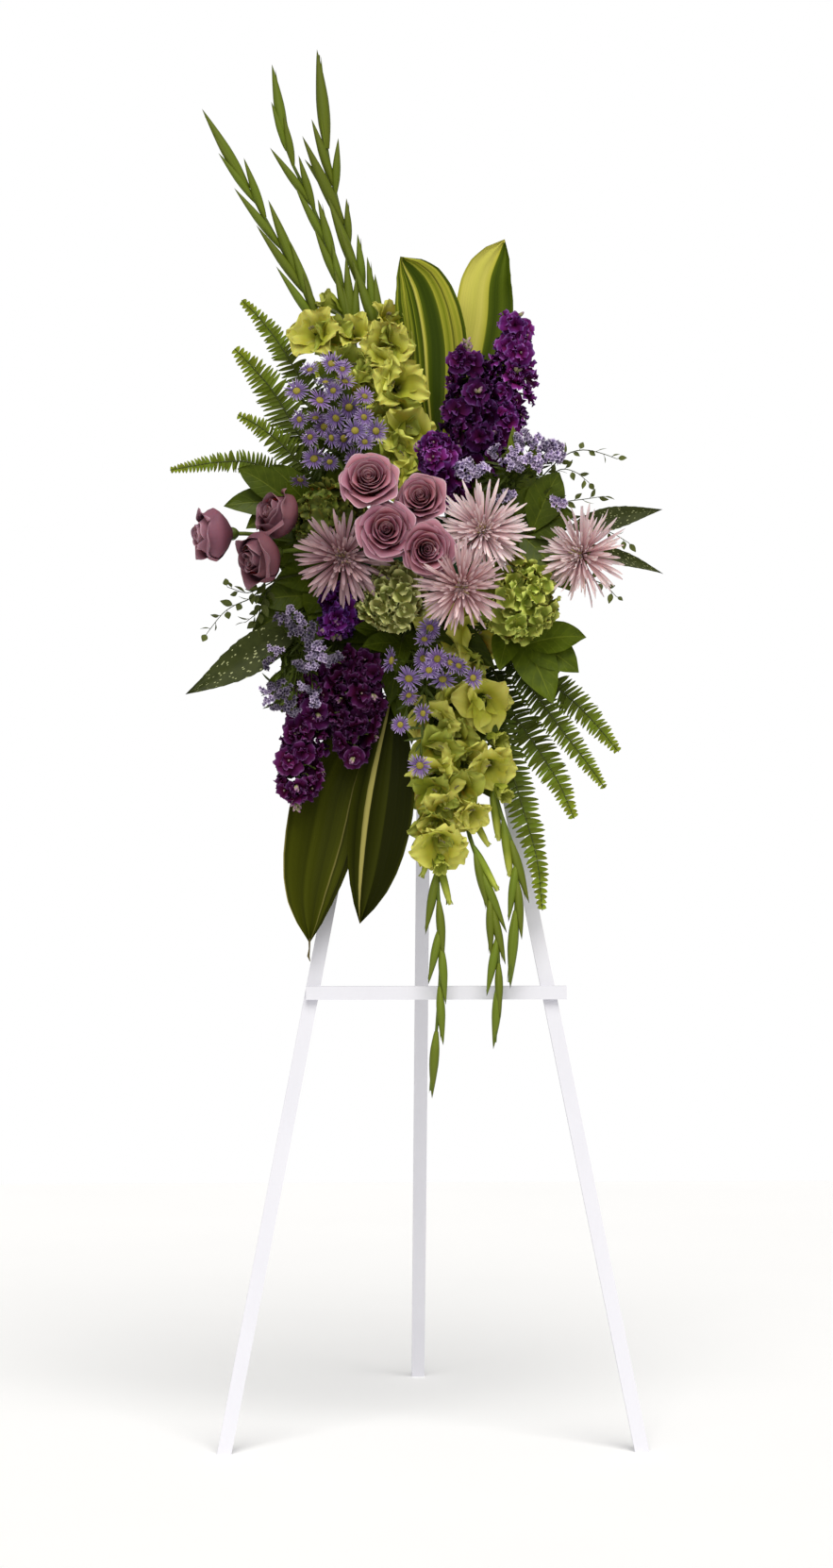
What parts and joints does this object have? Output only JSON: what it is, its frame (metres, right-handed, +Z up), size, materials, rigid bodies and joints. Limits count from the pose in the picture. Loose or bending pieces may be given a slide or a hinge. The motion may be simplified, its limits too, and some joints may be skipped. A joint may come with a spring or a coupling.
{
  "type": "standing funeral spray",
  "caption": "Asymmetrical spray of cut flowers and foliage in a block of wet floral foam, tied to a white wooden easel whose rear leg folds.",
  "frame": {"origin": "centre of the bounding box, on the floor", "axes": "+Z up, -Y to the front of the spray, +X to the right as seen from the front"},
  "size_m": [0.7024, 0.7206, 2.0242],
  "materials": {
    "painted_wood": "white paint, satin",
    "hinge_steel": "zinc plated",
    "tray_plastic": "dark green, satin",
    "wet_foam": "dark green, matt and open",
    "rose_petal": "dusty mauve, soft",
    "mum_petal": "pale dusty pink, soft",
    "hydrangea_petal": "yellow green, soft",
    "gladiolus_petal": "lime green, waxy",
    "stock_petal": "deep purple, velvety",
    "aster_petal": "lavender, soft",
    "statice_petal": "pale lavender, papery",
    "strap_leaf": "dark green with yellow green stripes, glossy",
    "spotted_leaf": "dark green with cream dots, glossy",
    "eucalyptus_leaf": "grey green, matt",
    "salal_leaf": "dark green, glossy",
    "fern_leaf": "fresh green, satin"
  },
  "bodies": {
    "spray": {"leg_left": "painted_wood", "leg_right": "painted_wood", "crossbar": "painted_wood", "head_board": "painted_wood", "hinge_bracket": "hinge_steel", "tie_wire": "hinge_steel", "foam_tray": "tray_plastic", "foam_block": "wet_foam", "rose_top": "rose_petal", "rose_upper_right": "rose_petal", "rose_centre": "rose_petal", "rose_lower_right": "rose_petal", "rose_far_left": "rose_petal", "rose_left_upper": "rose_petal", "rose_left_lower": "rose_petal", "mum_left": "mum_petal", "mum_upper_right": "mum_petal", "mum_lower": "mum_petal", "mum_right": "mum_petal", "hydrangea_left": "hydrangea_petal", "hydrangea_centre": "hydrangea_petal", "hydrangea_right": "hydrangea_petal", "gladiolus_up_left": "gladiolus_petal", "gladiolus_up_middle": "gladiolus_petal", "gladiolus_up_right": "gladiolus_petal", "gladiolus_down_left": "gladiolus_petal", "gladiolus_down_middle": "gladiolus_petal", "gladiolus_down_right": "gladiolus_petal", "stock_up_right": "stock_petal", "stock_up_left": "stock_petal", "stock_short": "stock_petal", "stock_low_front": "stock_petal", "stock_low_middle": "stock_petal", "stock_low_left": "stock_petal", "asters_upper": "aster_petal", "asters_lower": "aster_petal", "statice_right": "statice_petal", "statice_left": "statice_petal", "leaf_up_left": "strap_leaf", "leaf_up_right": "strap_leaf", "leaf_down_left": "strap_leaf", "leaf_down_right": "strap_leaf", "spotted_left": "spotted_leaf", "spotted_right": "spotted_leaf", "eucalyptus_right": "eucalyptus_leaf", "eucalyptus_left": "eucalyptus_leaf", "salal_left": "salal_leaf", "salal_right": "salal_leaf", "salal_lower_right": "salal_leaf", "salal_centre": "salal_leaf", "fern_left_1": "fern_leaf", "fern_left_2": "fern_leaf", "fern_left_3": "fern_leaf", "fern_left_4": "fern_leaf", "fern_right_1": "fern_leaf", "fern_right_2": "fern_leaf", "fern_right_3": "fern_leaf", "fern_right_4": "fern_leaf"},
    "rear_leg": {"leg_rear": "painted_wood"}
  },
  "joints": [
    {"name": "rear_leg_fold", "type": "hinge", "parent": "spray", "child": "rear_leg", "pos_m": [0.01719, -0.01201, 1.425], "axis": [-1, 0, 0], "range_deg": [0, 20]}
  ]
}
